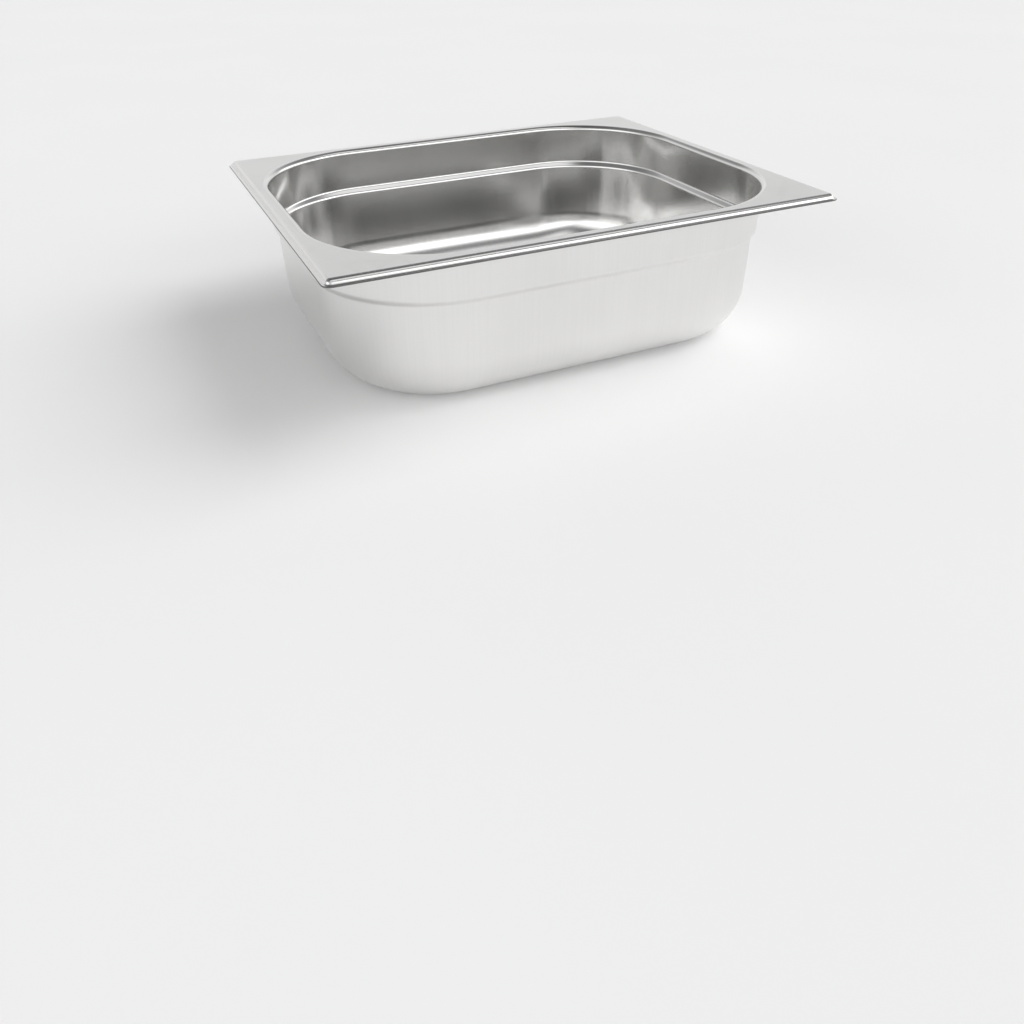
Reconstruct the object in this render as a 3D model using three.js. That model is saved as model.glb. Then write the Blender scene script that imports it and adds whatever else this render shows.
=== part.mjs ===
// Gastronorm food pan, size 1/2, 100 mm deep: one sheet of stainless steel, deep drawn.
// A flat rim with a stepped edge, a large round-cornered opening, an upper wall, a stacking
// shoulder, a lower wall and a flat base with a wide bottom radius.
//
// Millimetres, +Z up. The origin is the centre of the base, on the surface the pan stands on.
// X runs along the long side and Y along the short side.

import * as THREE from 'three';

// Outside size, from lip edge to lip edge and from the base to the top of the rim
const LENGTH = 325;
const WIDTH = 265;
const HEIGHT = 100;
const SHEET = 0.8;

// Rim: the lip is the outermost flat strip, one step below the flange
const LIP_CORNER_RADIUS = 5;
const LIP_WIDTH = 1.8;
const STEP_DROP = 3;
const STEP_SLOPE_RUN = 1.5;
const LIP_BEND_RADIUS = 1.4;
const STEP_BEND_RADIUS = 2.6;

// Opening and upper wall. The body's corners are concentric: their radius is
// BODY_CORNER_RADIUS less the inset from the lip edge.
const BODY_CORNER_RADIUS = 88.5;
const OPENING_INSET = 11.8;
const OPENING_BEND_RADIUS = 3;
const UPPER_DRAFT = THREE.MathUtils.degToRad(0.9);

// Stacking shoulder, measured down from the top of the rim
const SHOULDER_TOP_DEPTH = 28.6;
const SHOULDER_DROP = 3.2;
const SHOULDER_RUN = 2.7;
const SHOULDER_BEND_RADIUS = 3;

// Lower wall and base
const LOWER_DRAFT = THREE.MathUtils.degToRad(2.8);
const BOTTOM_BEND_RADIUS = 32;

// Fineness of the faceted surface
const CORNER_STEPS = 9;
const BEND_STEP_ANGLE = THREE.MathUtils.degToRad(16);

// The middle of the sheet as corner points: inset from the lip edge, height, bend radius
function sheetCorners() {
  const flangeHeight = HEIGHT - SHEET / 2;
  const lipHeight = flangeHeight - STEP_DROP;
  const baseHeight = SHEET / 2;
  const shoulderTop = HEIGHT - SHOULDER_TOP_DEPTH;
  const shoulderBottom = shoulderTop - SHOULDER_DROP;
  const upperInset = OPENING_INSET + (flangeHeight - shoulderTop) * Math.tan(UPPER_DRAFT);
  const lowerInset = upperInset + SHOULDER_RUN;
  const baseInset = lowerInset + (shoulderBottom - baseHeight) * Math.tan(LOWER_DRAFT);
  return [
    { inset: 0, height: lipHeight, radius: 0 },
    { inset: LIP_WIDTH, height: lipHeight, radius: LIP_BEND_RADIUS },
    { inset: LIP_WIDTH + STEP_SLOPE_RUN, height: flangeHeight, radius: STEP_BEND_RADIUS },
    { inset: OPENING_INSET, height: flangeHeight, radius: OPENING_BEND_RADIUS },
    { inset: upperInset, height: shoulderTop, radius: SHOULDER_BEND_RADIUS },
    { inset: lowerInset, height: shoulderBottom, radius: SHOULDER_BEND_RADIUS },
    { inset: baseInset, height: baseHeight, radius: BOTTOM_BEND_RADIUS },
    { inset: WIDTH / 2, height: baseHeight, radius: 0 },
  ];
}

// Rounds each corner of the sheet's middle line. Every point carries the unit normal that
// faces up and into the pan.
function bentLine(corners) {
  const points = [];
  const spots = corners.map((corner) => new THREE.Vector2(corner.inset, corner.height));
  const first = spots[1].clone().sub(spots[0]).normalize();
  points.push({ spot: spots[0], normal: new THREE.Vector2(-first.y, first.x) });
  for (let i = 1; i < spots.length - 1; i += 1) {
    const before = spots[i].clone().sub(spots[i - 1]).normalize();
    const after = spots[i + 1].clone().sub(spots[i]).normalize();
    const turn = Math.atan2(before.cross(after), before.dot(after));
    const side = Math.sign(turn);
    const radius = corners[i].radius;
    const tangentLength = radius * Math.tan(Math.abs(turn) / 2);
    const start = spots[i].clone().addScaledVector(before, -tangentLength);
    const startNormal = new THREE.Vector2(-before.y, before.x);
    const centre = start.clone().addScaledVector(startNormal, side * radius);
    const steps = Math.ceil(Math.abs(turn) / BEND_STEP_ANGLE);
    for (let step = 0; step <= steps; step += 1) {
      const normal = startNormal.clone().rotateAround(new THREE.Vector2(), (turn * step) / steps);
      const spot = centre.clone().addScaledVector(normal, -side * radius);
      points.push({ spot, normal });
    }
  }
  return points;
}

// Corner radius of the plan outline at an inset: small on the rim, large on the body
function planRadius(inset, onRim) {
  return onRim ? LIP_CORNER_RADIUS - inset : BODY_CORNER_RADIUS - inset;
}

// One closed outline round the pan, anticlockwise from above, at a constant height
function planRing(inset, height, radius) {
  const ring = [];
  const centreX = LENGTH / 2 - inset - radius;
  const centreY = WIDTH / 2 - inset - radius;
  const signs = [[1, 1], [-1, 1], [-1, -1], [1, -1]];
  signs.forEach(([signX, signY], quarter) => {
    for (let step = 0; step <= CORNER_STEPS; step += 1) {
      const angle = (quarter + step / CORNER_STEPS) * (Math.PI / 2);
      const x = signX * centreX + radius * Math.cos(angle);
      const y = signY * centreY + radius * Math.sin(angle);
      ring.push(new THREE.Vector3(x, y, height));
    }
  });
  return ring;
}

// Rings of one skin of the sheet: side 1 is the upper and inner skin, side -1 the outer one
function skinRings(line, side) {
  return line.map(({ spot, normal }) => {
    const place = spot.clone().addScaledVector(normal, (side * SHEET) / 2);
    const onRim = spot.x < (LIP_WIDTH + OPENING_INSET) / 2;
    return planRing(place.x, place.y, planRadius(place.x, onRim));
  });
}

// The whole closed sheet: the inner skin from the centre of the base up and out over the rim,
// round the lip edge, and the outer skin back to the centre of the base.
function panGeometry() {
  const line = bentLine(sheetCorners());
  const inner = skinRings(line, 1).reverse();
  const outer = skinRings(line, -1);
  const rings = [...inner, ...outer];
  const ringSize = rings[0].length;
  const positions = rings.flat().flatMap((point) => point.toArray());
  const innerCentre = positions.length / 3;
  positions.push(0, 0, SHEET);
  const outerCentre = innerCentre + 1;
  positions.push(0, 0, 0);

  const triangles = [];
  const lastRing = (rings.length - 1) * ringSize;
  for (let i = 0; i < ringSize; i += 1) {
    const next = (i + 1) % ringSize;
    triangles.push(innerCentre, i, next);
    triangles.push(outerCentre, lastRing + next, lastRing + i);
    for (let level = 0; level < rings.length - 1; level += 1) {
      const low = level * ringSize;
      const high = low + ringSize;
      triangles.push(low + i, high + i, high + next);
      triangles.push(low + i, high + next, low + next);
    }
  }

  const geometry = new THREE.BufferGeometry();
  geometry.setAttribute('position', new THREE.Float32BufferAttribute(positions, 3));
  geometry.setIndex(triangles);
  geometry.computeVertexNormals();
  return geometry;
}

function stainlessSteel() {
  return new THREE.MeshStandardMaterial({ color: 0xc9c8c5, roughness: 0.32, metalness: 1 });
}

const gastronormPan = new THREE.Group();
const pan = new THREE.Mesh(panGeometry(), stainlessSteel());
pan.name = 'pan';
gastronormPan.add(pan);

export default gastronormPan;
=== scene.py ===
"""Gastronorm food pan, size 1/2, 100 mm deep, standing on a pale studio floor.

The pan is one sheet of stainless steel, deep drawn. The CAD node gives its place and its
outside size, and this script draws the same sheet with smooth bends, a rounded lip edge, the
slight unevenness of pressed metal and a brushed steel finish. Lengths are in metres.
"""
import math

import bpy
from mathutils import Matrix, Vector, noise


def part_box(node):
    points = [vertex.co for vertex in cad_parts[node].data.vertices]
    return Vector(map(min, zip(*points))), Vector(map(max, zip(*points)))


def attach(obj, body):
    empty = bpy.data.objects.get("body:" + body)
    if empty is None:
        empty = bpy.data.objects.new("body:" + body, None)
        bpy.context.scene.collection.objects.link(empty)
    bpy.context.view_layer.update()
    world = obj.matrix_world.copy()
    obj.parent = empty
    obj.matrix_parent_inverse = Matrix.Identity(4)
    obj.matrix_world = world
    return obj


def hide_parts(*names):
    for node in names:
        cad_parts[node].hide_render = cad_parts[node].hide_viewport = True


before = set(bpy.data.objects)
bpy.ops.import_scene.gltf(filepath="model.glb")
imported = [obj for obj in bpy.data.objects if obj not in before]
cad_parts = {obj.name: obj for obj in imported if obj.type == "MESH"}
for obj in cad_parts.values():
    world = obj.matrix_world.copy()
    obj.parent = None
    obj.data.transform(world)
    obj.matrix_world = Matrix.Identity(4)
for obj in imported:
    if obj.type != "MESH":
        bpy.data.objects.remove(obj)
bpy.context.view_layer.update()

MM = 0.001
CAD_NODE = "pan"
CAD_LOW, CAD_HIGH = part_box(CAD_NODE)
HALF_LENGTH = (CAD_HIGH.x - CAD_LOW.x) / 2
HALF_WIDTH = (CAD_HIGH.y - CAD_LOW.y) / 2
HEIGHT = CAD_HIGH.z
SHEET = 0.8 * MM

# Rim
LIP_CORNER_RADIUS = 5 * MM
LIP_WIDTH = 1.8 * MM
LIP_BEND_RADIUS = 1.4 * MM
STEP_DROP = 3 * MM
STEP_SLOPE_RUN = 1.5 * MM
STEP_BEND_RADIUS = 2.6 * MM
EDGE_ROUND = 0.25 * MM
EDGE_STEPS = 4

# Opening, walls, shoulder and base
BODY_CORNER_RADIUS = 88.5 * MM
OPENING_INSET = 11.8 * MM
OPENING_BEND_RADIUS = 3 * MM
UPPER_DRAFT = math.radians(0.9)
SHOULDER_TOP_DEPTH = 28.6 * MM
SHOULDER_DROP = 3.2 * MM
SHOULDER_RUN = 2.7 * MM
SHOULDER_BEND_RADIUS = 3 * MM
LOWER_DRAFT = math.radians(2.8)
BOTTOM_BEND_RADIUS = 32 * MM

# Fineness of the mesh
BEND_STEP = math.radians(5)
WALL_STEP = 5 * MM
SUPPORT = 0.3 * MM
CORNER_STEPS = 20
LIP_CORNER_STEPS = 6
SIDE_STEP = 8 * MM
BASE_RINGS = 8

# Smallest radius of a rim corner's outline, past the inset where a concentric one would vanish
SHARPEST_CORNER = 0.08 * MM

# Unevenness of the drawn walls. It starts at a share of the fade length from the rim and from
# the base, and is full one whole fade length further in.
WAVE_DEPTH = 0.12 * MM
WAVE_LENGTH = 38 * MM
WAVE_STRETCH = 0.35
WAVE_FADE = 18 * MM
WAVE_START = 0.3

# Steel: densities are in marks per metre, depths in metres. Noise is contrasted between two
# levels before it is used.
NOISE_LOW, NOISE_HIGH = 0.3, 0.7
SLOW_NOISE_LOW, SLOW_NOISE_HIGH = 0.35, 0.65
# The polished colour is darker than the satin one. This is painted shade for the inside of the
# pan; the two finishes really differ only in roughness.
POLISHED_SHADED_COLOUR = (0.72, 0.717, 0.71, 1)
SATIN_UNSHADED_COLOUR = (0.81, 0.807, 0.8, 1)
# The sheared colour is the cut edge's dull raw steel, darkened much further as painted shade
# under the lip.
SHEARED_AND_SHADE_COLOUR = (0.16, 0.158, 0.155, 1)
POLISHED_ROUGHNESS = 0.18
SATIN_ROUGHNESS = 0.33
SHEARED_ROUGHNESS = 0.5
DRAW_MARK_DENSITY = (800, 800, 12)
POLISH_MARK_DENSITY = (14, 900, 14)
SCRATCH_DENSITY = (14, 1500, 14)
SCRATCH_TURNS = (12, 75, 140)
GRAIN_DENSITY = 2500
PATCH_DENSITY = 14
MARK_DEPTH = 0.0003 * MM
GRAIN_DEPTH = 0.0001 * MM
SCRATCH_DEPTH = 0.001 * MM
SCRATCH_ROUGHENING = 0.1
SCRATCH_LOW, SCRATCH_HIGH = 0.66, 0.74
SCRATCHED_LOW, SCRATCHED_HIGH = 0.4, 0.6
FLAT_LOW, FLAT_HIGH = 0.7, 0.97
MARK_SHADE = 0.01
PATCH_DARK, PATCH_LIGHT = 0.98, 1.01
MARK_ROUGHENING = 0.008
PATCH_ROUGHENING = 0.01
MARK_DETAIL, MARK_DETAIL_SHARE = 3.0, 0.6
GRAIN_DETAIL, GRAIN_DETAIL_SHARE = 2.0, 0.6
EDGE_SATIN_AND_UNSHADED = 0.5
LEVEL_NORMAL = 0.999

# Studio. The sky's levels go from the horizon to the zenith, by the sine of the elevation.
# Softboxes: azimuth, elevation, half width and half height in degrees, edge softness, radiance.
FLOOR_REACH = 20.0
FLOOR_SHADE = 0.94
FLOOR_MOTTLE = 0.01
FLOOR_MOTTLE_DENSITY = 3.0
FLOOR_ROUGHNESS = 0.9
SKY_LEVELS = ((0.0, 0.9), (0.1, 0.84), (0.26, 0.7), (0.5, 0.45), (0.71, 0.22), (0.87, 0.25),
              (1.0, 0.08))
SKY_LEFT, SKY_RIGHT = 0.95, 1.05
SOFTBOXES = (
    (18, 24, 37, 11, 0.35, 1.5),
    (80, 20, 32, 11, 0.4, 1.25),
    (-62, 24, 36, 12, 0.65, 1.15),
    (175, 22, 42, 10, 0.5, 0.31),
    (28, 62, 28, 11, 0.5, 0.85),
)
# A softbox fades out where the sky turns away from it, so that it has no twin behind the pan
SOFTBOX_FADE = (0.05, 0.15)
# The overhead lamp lights the floor and gives the pan its shadow. Polished steel would show it
# as a hard spot, so it is screened from reflections.
LAMP_AZIMUTH, LAMP_ELEVATION = 82, 46
LAMP_SPREAD = math.radians(45)
LAMP_STRENGTH = 1.3
GLOSSY_BOUNCES = 8

# Camera
SENSOR_WIDTH = 36
LENS = 32.823
LENS_SHIFT = -0.125
CAMERA_PLACE = Vector((-0.25555, -0.55899, HEIGHT + 0.16708))
CAMERA_TURN = math.radians(-24.424)
CAMERA_DIP = math.radians(27.765)
CAMERA_ROLL = math.radians(-0.915)


def sheet_corners():
    """Corner points of the sheet's middle line: (inset from the lip edge, height, radius)."""
    flange = HEIGHT - SHEET / 2
    lip = flange - STEP_DROP
    base = SHEET / 2
    shoulder_top = HEIGHT - SHOULDER_TOP_DEPTH
    shoulder_bottom = shoulder_top - SHOULDER_DROP
    upper_inset = OPENING_INSET + (flange - shoulder_top) * math.tan(UPPER_DRAFT)
    lower_inset = upper_inset + SHOULDER_RUN
    base_inset = lower_inset + (shoulder_bottom - base) * math.tan(LOWER_DRAFT)
    return [
        (0, lip, 0),
        (LIP_WIDTH, lip, LIP_BEND_RADIUS),
        (LIP_WIDTH + STEP_SLOPE_RUN, flange, STEP_BEND_RADIUS),
        (OPENING_INSET, flange, OPENING_BEND_RADIUS),
        (upper_inset, shoulder_top, SHOULDER_BEND_RADIUS),
        (lower_inset, shoulder_bottom, SHOULDER_BEND_RADIUS),
        (base_inset, base, BOTTOM_BEND_RADIUS),
        (base_inset + 2 * BOTTOM_BEND_RADIUS, base, 0),
    ]


def straight_points(start, end):
    """Points along a straight run, with one close to each end to keep the bends crisp."""
    run = end - start
    length = run.length
    if length < 3 * SUPPORT:
        return []
    steps = max(1, round(length / WALL_STEP))
    places = [SUPPORT] + [length * k / steps for k in range(1, steps)] + [length - SUPPORT]
    return [start + run * (place / length) for place in places]


def bent_line():
    """The sheet's middle line as (point, normal) pairs, with the normal up and into the pan."""
    corners = sheet_corners()
    spots = [Vector((inset, height)) for inset, height, _ in corners]
    first = (spots[1] - spots[0]).normalized()
    line = [(spots[0], Vector((-first.y, first.x)))]
    for i in range(1, len(spots) - 1):
        before = (spots[i] - spots[i - 1]).normalized()
        after = (spots[i + 1] - spots[i]).normalized()
        turn = math.atan2(before.x * after.y - before.y * after.x, before.dot(after))
        side = math.copysign(1, turn)
        radius = corners[i][2]
        start = spots[i] - before * radius * math.tan(abs(turn) / 2)
        start_normal = Vector((-before.y, before.x))
        line += [(point, start_normal) for point in straight_points(line[-1][0], start)]
        centre = start + start_normal * side * radius
        steps = math.ceil(abs(turn) / BEND_STEP)
        for step in range(steps + 1):
            normal = Matrix.Rotation(turn * step / steps, 2) @ start_normal
            line.append((centre - normal * side * radius, normal))
    return line


def lip_edge():
    """The rounded cut edge of the lip, from the upper skin round to the lower one."""
    lip = HEIGHT - SHEET / 2 - STEP_DROP
    reach = SHEET / 2 - EDGE_ROUND
    points = []
    for centre_height, first_angle in ((lip + reach, 90), (lip - reach, 180)):
        for step in range(EDGE_STEPS + 1):
            angle = math.radians(first_angle + 90 * step / EDGE_STEPS)
            inset = EDGE_ROUND + EDGE_ROUND * math.cos(angle)
            points.append(Vector((inset, centre_height + EDGE_ROUND * math.sin(angle))))
    return points


def corner_directions():
    """Directions of the plan points over one corner, seen from the centre of the body's
    corner: (angle, and the lip corner's own angle where the point is on the lip corner)."""
    straight = BODY_CORNER_RADIUS - LIP_CORNER_RADIUS
    limit = math.atan2(straight, BODY_CORNER_RADIUS)
    low = [(limit * k / CORNER_STEPS, None) for k in range(CORNER_STEPS)]
    middle = []
    for k in range(LIP_CORNER_STEPS + 1):
        own = math.pi / 2 * k / LIP_CORNER_STEPS
        x = straight + LIP_CORNER_RADIUS * math.cos(own)
        y = straight + LIP_CORNER_RADIUS * math.sin(own)
        middle.append((math.atan2(y, x), own))
    high = [(math.pi / 2 - angle, None) for angle, _ in reversed(low)]
    return low + middle + high


def side_places(half):
    """Evenly spaced places between the two ends of a straight side, ends left out."""
    steps = max(2, round(2 * half / SIDE_STEP))
    return [half - 2 * half * k / steps for k in range(1, steps)]


DIRECTIONS = corner_directions()
CENTRE_X = HALF_LENGTH - BODY_CORNER_RADIUS
CENTRE_Y = HALF_WIDTH - BODY_CORNER_RADIUS
SIDES_X = side_places(CENTRE_X)
SIDES_Y = side_places(CENTRE_Y)


def corner_point(inset, on_rim, angle, own):
    """A plan point of the first corner, measured from the centre of the body's corner."""
    reach = BODY_CORNER_RADIUS - inset
    if not on_rim:
        return reach * math.cos(angle), reach * math.sin(angle)
    if own is None:
        if angle < math.pi / 4:
            return reach, reach * math.tan(angle)
        return reach / math.tan(angle), reach
    radius = max(LIP_CORNER_RADIUS - inset, SHARPEST_CORNER)
    return reach - radius * (1 - math.cos(own)), reach - radius * (1 - math.sin(own))


def plan_ring(inset, height, on_rim):
    """One closed outline round the pan, anticlockwise from above."""
    quarter = [corner_point(inset, on_rim, angle, own) for angle, own in DIRECTIONS]
    far_x = HALF_LENGTH - inset
    far_y = HALF_WIDTH - inset
    ring = [(CENTRE_X + x, CENTRE_Y + y) for x, y in quarter]
    ring += [(x, far_y) for x in SIDES_X]
    ring += [(-CENTRE_X - x, CENTRE_Y + y) for x, y in reversed(quarter)]
    ring += [(-far_x, y) for y in SIDES_Y]
    ring += [(-CENTRE_X - x, -CENTRE_Y - y) for x, y in quarter]
    ring += [(-x, -far_y) for x in SIDES_X]
    ring += [(CENTRE_X + x, -CENTRE_Y - y) for x, y in reversed(quarter)]
    ring += [(far_x, -y) for y in SIDES_Y]
    return [Vector((x, y, height)) for x, y in ring]


def round_the_pan(ring):
    """The places of a ring's points on a circle as long as the pan's outline, so that a pattern
    made on the circle has no seam: (x, y) of each point, in metres."""
    lengths = [0.0]
    for i in range(len(ring)):
        lengths.append(lengths[-1] + (ring[(i + 1) % len(ring)] - ring[i]).length)
    radius = lengths[-1] / (2 * math.pi)
    turns = [2 * math.pi * length / lengths[-1] for length in lengths[:-1]]
    return [(radius * math.cos(turn), radius * math.sin(turn)) for turn in turns]


OUTLINE_CIRCLE = round_the_pan(plan_ring(OPENING_INSET, HEIGHT, False))


def wall_share(height):
    """How far a height is inside the walls: 0 at the rim and the base, 1 well inside."""
    from_top = (HEIGHT - height) / WAVE_FADE
    from_base = height / WAVE_FADE
    share = max(0.0, min(1.0, from_top - WAVE_START, from_base - WAVE_START))
    return share * share * (3 - 2 * share)


def wavy(ring, normal, middle):
    """Moves a ring's points in or out a little, as the drawn sheet's walls do."""
    depth = WAVE_DEPTH * wall_share(middle.y)
    if depth == 0.0:
        return ring
    moved = []
    for i, (x, y) in enumerate(OUTLINE_CIRCLE):
        wave = noise.noise(Vector((x, y, middle.y * WAVE_STRETCH)) / WAVE_LENGTH)
        before, after = ring[i - 1], ring[(i + 1) % len(ring)]
        outward = Vector((after.y - before.y, before.x - after.x, 0)).normalized()
        shift = Vector((-outward.x * normal.x, -outward.y * normal.x, normal.y))
        moved.append(ring[i] + shift * wave * depth)
    return moved


def build_pan():
    """The sheet as one closed mesh: the inner skin from the centre of the base up and out over
    the rim, round the lip edge, and the outer skin back to the centre of the base."""
    line = bent_line()
    rim_end = (LIP_WIDTH + OPENING_INSET) / 2
    upper = [(point + normal * SHEET / 2, normal, point) for point, normal in line[1:]]
    lower = [(point - normal * SHEET / 2, normal, point) for point, normal in line[1:]]
    edge = [(point, Vector((0, 0)), point) for point in lip_edge()]
    rows = upper[::-1] + edge + lower
    rings = []
    for place, normal, middle in rows:
        ring = plan_ring(place.x, place.y, middle.x < rim_end)
        rings.append(wavy(ring, normal, middle))

    def base_rings(ring, height):
        shrunk = []
        for k in range(1, BASE_RINGS):
            keep = 1 - k / BASE_RINGS
            shrunk.append([Vector((p.x * keep, p.y * keep, height)) for p in ring])
        return shrunk

    inner_base = list(reversed(base_rings(rings[0], SHEET)))
    outer_base = base_rings(rings[-1], 0)
    inside = len(inner_base) + len(upper)
    outside = len(lower) + len(outer_base)
    # The satin mask is 1 on the flange and the outside skin and 0 inside. Besides the finish it
    # picks the lighter colour, so the inside gets the darker colour of painted shade.
    on_flange = [middle.y > HEIGHT - SHEET and normal.y > LEVEL_NORMAL
                 for _, normal, middle in upper]
    satin_and_unshaded = [0.0] * len(inner_base) + [float(flange) for flange in reversed(on_flange)]
    satin_and_unshaded += [EDGE_SATIN_AND_UNSHADED] * len(edge) + [1.0] * outside
    # The sheared mask covers the lip's cut edge, which the material paints dark: partly the raw
    # edge's own colour, partly painted shade under the lip.
    sheared_and_shaded = [0.0] * (inside + 1) + [1.0] * (len(edge) - 2) + [0.0] * (outside + 1)
    rings = inner_base + rings + outer_base
    size = len(rings[0])
    vertices = [point for ring in rings for point in ring]
    inner_centre = len(vertices)
    vertices.append(Vector((0, 0, SHEET)))
    outer_centre = len(vertices)
    vertices.append(Vector((0, 0, 0)))

    faces = []
    for level in range(len(rings) - 1):
        for i in range(size):
            j = (i + 1) % size
            faces.append((level * size + i, (level + 1) * size + i,
                          (level + 1) * size + j, level * size + j))
    last = (len(rings) - 1) * size
    for i in range(size):
        j = (i + 1) % size
        faces.append((inner_centre, i, j))
        faces.append((outer_centre, last + j, last + i))

    mesh = bpy.data.meshes.new("pan_sheet")
    mesh.from_pydata(vertices, [], faces)
    mesh.validate()
    for polygon in mesh.polygons:
        polygon.use_smooth = True
    for name, values, ends in (("satin_and_unshaded", satin_and_unshaded, [0.0, 1.0]), ("sheared_and_shaded", sheared_and_shaded, [0.0, 0.0])):
        attribute = mesh.attributes.new(name, "FLOAT", "POINT")
        spread = [value for value in values for _ in range(size)] + ends
        attribute.data.foreach_set("value", spread)
    draw = mesh.attributes.new("draw_place", "FLOAT_VECTOR", "POINT")
    drawn = [value for ring in rings for (x, y), point in zip(OUTLINE_CIRCLE, ring)
             for value in (x, y, point.z)]
    draw.data.foreach_set("vector", drawn + [0.0, 0.0, SHEET, 0.0, 0.0, 0.0])
    piece = bpy.data.objects.new("pan_sheet", mesh)
    bpy.context.scene.collection.objects.link(piece)
    return piece


class Graph:
    """Adds nodes to a node tree and links them, one call for each node."""

    def __init__(self, tree):
        self.nodes = tree.nodes
        self.links = tree.links

    def add(self, kind, *inputs, **settings):
        node = self.nodes.new("ShaderNode" + kind)
        for name, value in settings.items():
            setattr(node, name, value)
        for socket, value in zip(node.inputs, inputs):
            if value is None:
                continue
            if isinstance(value, bpy.types.NodeSocket):
                self.links.new(value, socket)
            else:
                socket.default_value = value
        return node

    def math(self, operation, first, second=None):
        return self.add("Math", first, second, operation=operation).outputs[0]

    def vector(self, operation, first, second=None):
        node = self.add("VectorMath", first, second, operation=operation)
        return node.outputs["Value" if operation == "DOT_PRODUCT" else "Vector"]

    def smooth(self, value, low, high, to_low=0.0, to_high=1.0):
        node = self.add("MapRange", value, low, high, to_low, to_high,
                        interpolation_type="SMOOTHSTEP")
        return node.outputs[0]

    def mix(self, factor, first, second):
        """first + factor * (second - first), for numbers."""
        node = self.add("Mix", factor, None, first, second, data_type="FLOAT")
        return node.outputs[0]

    def colour(self, factor, first, second):
        """first + factor * (second - first), for colours."""
        node = self.add("Mix", data_type="RGBA")
        for socket, value in zip((0, 6, 7), (factor, first, second)):
            if isinstance(value, bpy.types.NodeSocket):
                self.links.new(value, node.inputs[socket])
            else:
                node.inputs[socket].default_value = value
        return node.outputs[2]

    def noise(self, place, scale, detail=2.0, roughness=0.5):
        node = self.add("TexNoise", place, None, scale, detail, roughness)
        return node.outputs[0]


def hairlines(graph, place, turn):
    """Fine straight scratches in one direction: 1 in a scratch and 0 beside it."""
    rotated = graph.add("VectorRotate", place, rotation_type="Z_AXIS")
    rotated.inputs["Angle"].default_value = math.radians(turn)
    stretched = graph.vector("MULTIPLY", rotated.outputs[0], SCRATCH_DENSITY)
    return graph.smooth(graph.noise(stretched, 1.0, 1.0, 0.5), SCRATCH_LOW, SCRATCH_HIGH)


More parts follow.
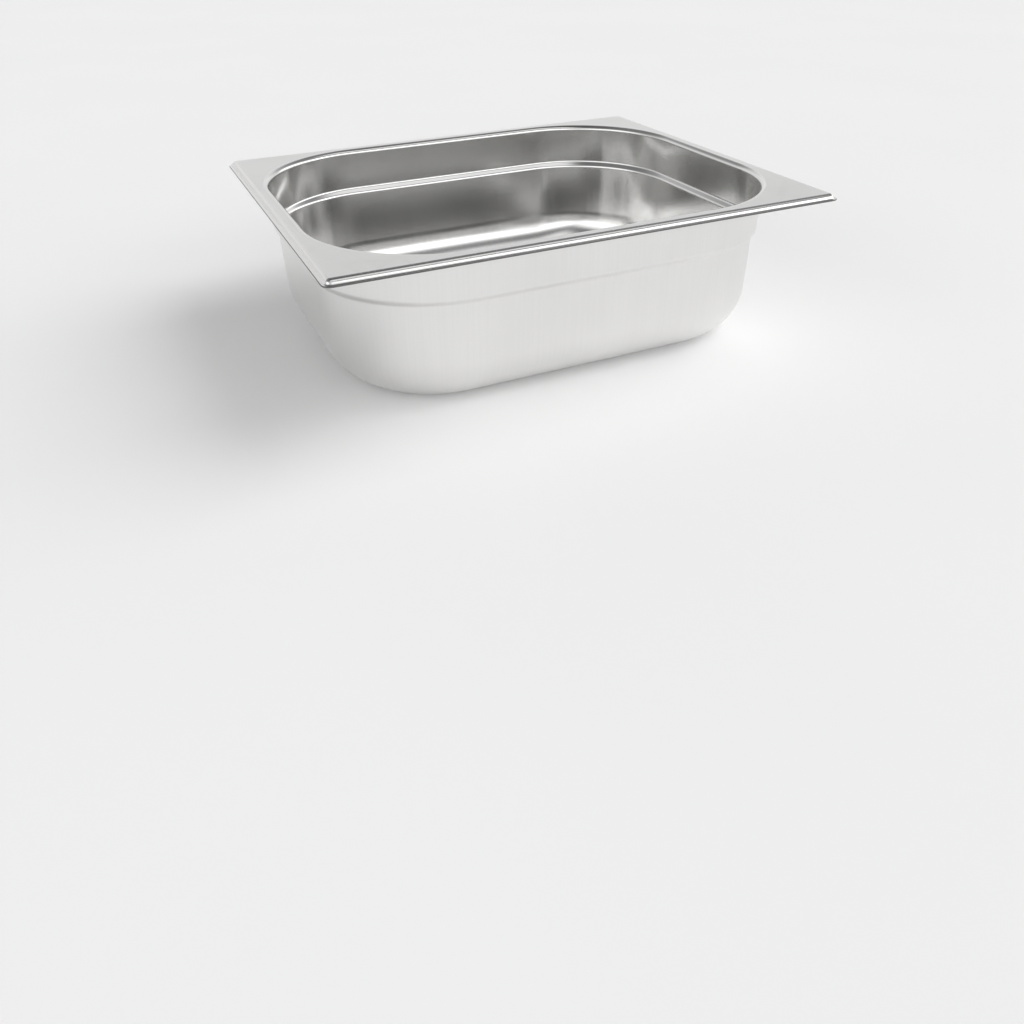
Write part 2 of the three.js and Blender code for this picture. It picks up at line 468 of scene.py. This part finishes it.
def steel():
    """Stainless steel: polished where the satin mask is 0, satin where it is 1, raw where the
    sheared mask is 1. The polished inside gets a darker colour than the satin outside, which is
    painted shade, and the raw cut edge is painted dark, partly its own dull colour and partly
    painted shade under the lip.
    """
    material = bpy.data.materials.new("stainless_steel")
    material.use_nodes = True
    graph = Graph(material.node_tree)
    shader = graph.nodes["Principled BSDF"]
    place = graph.add("TexCoord").outputs["Object"]
    normal = graph.add("NewGeometry").outputs["Normal"]
    upright = graph.math("ABSOLUTE", graph.vector("DOT_PRODUCT", normal, (0, 0, 1)))
    flat = graph.smooth(upright, FLAT_LOW, FLAT_HIGH)
    satin_and_unshaded = graph.add("Attribute", attribute_name="satin_and_unshaded").outputs["Fac"]
    sheared_and_shaded = graph.add("Attribute", attribute_name="sheared_and_shaded").outputs["Fac"]

    # Draw marks run down the walls; polishing marks run along the pan on the flat parts
    drawn = graph.add("Attribute", attribute_name="draw_place").outputs["Vector"]
    draw_place = graph.vector("MULTIPLY", drawn, DRAW_MARK_DENSITY)
    draw_marks = graph.noise(draw_place, 1.0, MARK_DETAIL, MARK_DETAIL_SHARE)
    polish_place = graph.vector("MULTIPLY", place, POLISH_MARK_DENSITY)
    polish_marks = graph.noise(polish_place, 1.0, MARK_DETAIL, MARK_DETAIL_SHARE)
    marks = graph.mix(flat, draw_marks, polish_marks)
    grain = graph.noise(place, GRAIN_DENSITY, GRAIN_DETAIL, GRAIN_DETAIL_SHARE)
    patches = graph.noise(place, PATCH_DENSITY)

    # Handling scratches on the flat parts, in three directions and only in some patches
    scratches = hairlines(graph, place, SCRATCH_TURNS[0])
    for turn in SCRATCH_TURNS[1:]:
        scratches = graph.math("MAXIMUM", scratches, hairlines(graph, place, turn))
    scratched = graph.smooth(patches, SCRATCHED_LOW, SCRATCHED_HIGH)
    scratches = graph.math("MULTIPLY", scratches, scratched)
    scratches = graph.math("MULTIPLY", scratches, flat)

    # Colour: darker inside than outside, which is painted shade; a little uneven with the marks
    # and patches; and dark on the sheared edge, partly the edge's own dull colour and partly
    # painted shade under the lip
    colour = graph.colour(satin_and_unshaded, POLISHED_SHADED_COLOUR, SATIN_UNSHADED_COLOUR)
    mark_shade = graph.smooth(marks, NOISE_LOW, NOISE_HIGH, -MARK_SHADE, MARK_SHADE)
    patch_shade = graph.smooth(patches, NOISE_LOW, NOISE_HIGH, PATCH_DARK, PATCH_LIGHT)
    shade = graph.math("ADD", mark_shade, patch_shade)
    shaded = graph.add("VectorMath", colour, operation="SCALE")
    graph.links.new(shade, shaded.inputs["Scale"])
    colour = graph.colour(sheared_and_shaded, shaded.outputs[0], SHEARED_AND_SHADE_COLOUR)
    graph.links.new(colour, shader.inputs["Base Color"])

    # Roughness: polished inside, satin outside, with the marks, patches and scratches in it
    rough = graph.mix(satin_and_unshaded, POLISHED_ROUGHNESS, SATIN_ROUGHNESS)
    rough = graph.math("ADD", rough, graph.smooth(
        marks, NOISE_LOW, NOISE_HIGH, -MARK_ROUGHENING, MARK_ROUGHENING))
    rough = graph.math("ADD", rough, graph.smooth(
        patches, SLOW_NOISE_LOW, SLOW_NOISE_HIGH, -PATCH_ROUGHENING, PATCH_ROUGHENING))
    rough = graph.math("ADD", rough, graph.mix(scratches, 0.0, SCRATCH_ROUGHENING))
    rough = graph.mix(sheared_and_shaded, rough, SHEARED_ROUGHNESS)
    graph.links.new(rough, shader.inputs["Roughness"])

    # Relief: marks and grain stand up, scratches go in
    height = graph.math("MULTIPLY", marks, MARK_DEPTH)
    height = graph.math("ADD", height, graph.math("MULTIPLY", grain, GRAIN_DEPTH))
    height = graph.math("SUBTRACT", height, graph.math("MULTIPLY", scratches, SCRATCH_DEPTH))
    bump = graph.add("Bump")
    bump.inputs["Strength"].default_value = 1.0
    bump.inputs["Distance"].default_value = 1.0
    graph.links.new(height, bump.inputs["Height"])
    graph.links.new(bump.outputs[0], shader.inputs["Normal"])
    shader.inputs["Metallic"].default_value = 1.0
    return material


def studio_floor():
    """A plain pale floor, which is not part of the object."""
    mesh = bpy.data.meshes.new("studio_floor")
    corners = [(-1, -1), (1, -1), (1, 1), (-1, 1)]
    mesh.from_pydata([(x * FLOOR_REACH, y * FLOOR_REACH, 0) for x, y in corners],
                     [], [(0, 1, 2, 3)])
    paint = bpy.data.materials.new("studio_floor_paint")
    paint.use_nodes = True
    graph = Graph(paint.node_tree)
    shader = graph.nodes["Principled BSDF"]
    mottle = graph.noise(graph.add("TexCoord").outputs["Object"], FLOOR_MOTTLE_DENSITY)
    shade = graph.smooth(mottle, NOISE_LOW, NOISE_HIGH, FLOOR_SHADE - FLOOR_MOTTLE, FLOOR_SHADE)
    graph.links.new(shade, shader.inputs["Base Color"])
    shader.inputs["Roughness"].default_value = FLOOR_ROUGHNESS
    mesh.materials.append(paint)
    floor = bpy.data.objects.new("studio_floor", mesh)
    bpy.context.scene.collection.objects.link(floor)


def heading(azimuth, elevation):
    """A direction from the pan. Azimuth 0 is in front of it, and 90 on its right."""
    a, e = math.radians(azimuth), math.radians(elevation)
    return Vector((math.sin(a) * math.cos(e), -math.cos(a) * math.cos(e), math.sin(e)))


def softbox(graph, direction, azimuth, elevation, half_width, half_height, edge, radiance):
    """A far, soft-edged rectangular light in the studio's sky. The half sizes are angles."""
    forward = heading(azimuth, elevation)
    across = Vector((math.cos(math.radians(azimuth)), math.sin(math.radians(azimuth)), 0))
    upward = forward.cross(across) * -1
    ahead = graph.vector("DOT_PRODUCT", direction, tuple(forward))
    level = graph.smooth(ahead, *SOFTBOX_FADE, 0.0, radiance)
    for axis, half in ((across, half_width), (upward, half_height)):
        offset = graph.vector("DOT_PRODUCT", direction, tuple(axis))
        offset = graph.math("DIVIDE", graph.math("ABSOLUTE", offset), ahead)
        reach = math.tan(math.radians(half))
        inside = graph.smooth(offset, reach * (1 - edge), reach * (1 + edge), 1.0, 0.0)
        level = graph.math("MULTIPLY", level, inside)
    return level


def studio_sky():
    """A grey surround, darker overhead, with soft lights in it."""
    world = bpy.data.worlds.new("studio")
    bpy.context.scene.world = world
    world.use_nodes = True
    graph = Graph(world.node_tree)
    direction = graph.add("TexCoord").outputs["Generated"]
    axes = graph.add("SeparateXYZ", direction)
    ramp = graph.add("ValToRGB", axes.outputs["Z"])
    elements = ramp.color_ramp.elements
    while len(elements) < len(SKY_LEVELS):
        elements.new(1.0)
    for element, (position, level) in zip(elements, SKY_LEVELS):
        element.position = position
        element.color = (level, level, level, 1)
    side = graph.add("MapRange", axes.outputs["X"], -1.0, 1.0, SKY_LEFT, SKY_RIGHT).outputs[0]
    level = graph.math("MULTIPLY", ramp.outputs[0], side)
    for box in SOFTBOXES:
        level = graph.math("ADD", level, softbox(graph, direction, *box))
    background = graph.nodes["Background"]
    graph.links.new(level, background.inputs["Color"])


def overhead_lamp():
    """A wide, distant lamp for the floor and the pan's shadow."""
    data = bpy.data.lights.new("overhead_lamp", "SUN")
    data.angle = LAMP_SPREAD
    data.energy = LAMP_STRENGTH
    lamp = bpy.data.objects.new("overhead_lamp", data)
    bpy.context.scene.collection.objects.link(lamp)
    towards_lamp = heading(LAMP_AZIMUTH, LAMP_ELEVATION)
    lamp.rotation_euler = towards_lamp.to_track_quat("Z", "Y").to_euler()
    lamp.visible_glossy = False


def camera():
    """The camera in the place that the photo was taken from."""
    data = bpy.data.cameras.new("camera")
    data.sensor_width = SENSOR_WIDTH
    data.lens = LENS
    data.shift_y = LENS_SHIFT
    view = bpy.data.objects.new("camera", data)
    bpy.context.scene.collection.objects.link(view)
    view.location = CAMERA_PLACE
    level = Matrix.Rotation(math.pi / 2 - CAMERA_DIP, 3, "X")
    view.rotation_euler = (
        Matrix.Rotation(CAMERA_TURN, 3, "Z") @ level @ Matrix.Rotation(CAMERA_ROLL, 3, "Z")
    ).to_euler()
    bpy.context.scene.camera = view


pan = build_pan()
pan.data.materials.append(steel())
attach(pan, "root")
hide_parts(CAD_NODE)
studio_floor()
studio_sky()
overhead_lamp()
camera()
scene = bpy.context.scene
scene.view_settings.view_transform = "Standard"
scene.cycles.glossy_bounces = GLOSSY_BOUNCES
